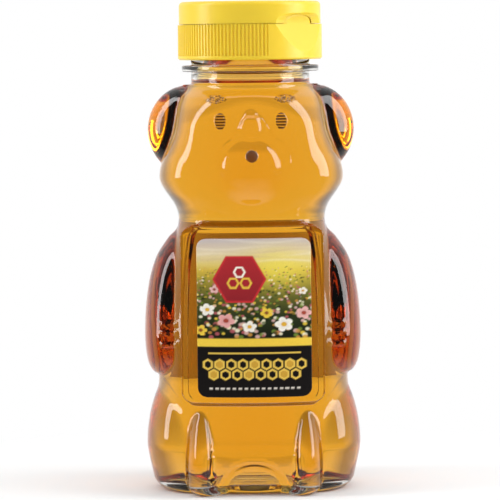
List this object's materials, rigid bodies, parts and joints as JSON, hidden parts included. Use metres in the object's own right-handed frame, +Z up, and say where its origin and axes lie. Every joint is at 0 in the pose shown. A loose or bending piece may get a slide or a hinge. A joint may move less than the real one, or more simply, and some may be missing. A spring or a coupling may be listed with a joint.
{
  "type": "honey bear bottle",
  "caption": "Clear bear-shaped squeeze bottle of honey with a label panel, a screw cap and a flip-top lid on a living hinge.",
  "frame": {"origin": "middle of the footprint, on the surface that the bottle stands on, under the neck's axis", "axes": "+Z up along the neck's axis, -Y out of the bear's face and front label, +X to the right in a front view"},
  "size_m": [0.064, 0.0531, 0.144],
  "materials": {
    "clear_pet": "clear blow-moulded",
    "honey": "clear amber liquid",
    "printed_label": "gloss print",
    "plain_label": "plain gloss",
    "seal_foil": "satin foil",
    "liner_foam": "foamed",
    "yellow_plastic": "moulded semi-gloss"
  },
  "bodies": {
    "bottle": {"bottle": "clear_pet", "honey": "honey", "front_label": "printed_label", "back_label": "plain_label", "mouth_seal": "seal_foil"},
    "liner": {"cap_liner": "liner_foam"},
    "cap": {"cap_base": "yellow_plastic", "living_hinge": "yellow_plastic"},
    "lid": {"flip_lid": "yellow_plastic"}
  },
  "joints": [
    {"name": "cap_lift", "type": "slide", "parent": "bottle", "child": "liner", "axis": [0, 0, 1], "range_m": [0, 0.00423]},
    {"name": "cap_turn", "type": "hinge", "parent": "liner", "child": "cap", "pos_m": [0, 0, 0.13], "axis": [0, 0, 1], "range_deg": [0, 360]},
    {"name": "lid_flip", "type": "hinge", "parent": "cap", "child": "lid", "pos_m": [-0.01628, 0.01415, 0.13728], "axis": [-0.6561, -0.7547, 0], "range_deg": [0, 125], "deforming": ["living_hinge"]}
  ],
  "couplings": [
    {"joint": "cap_lift", "follows": "cap_turn", "m_per_rad": 0.000673}
  ]
}
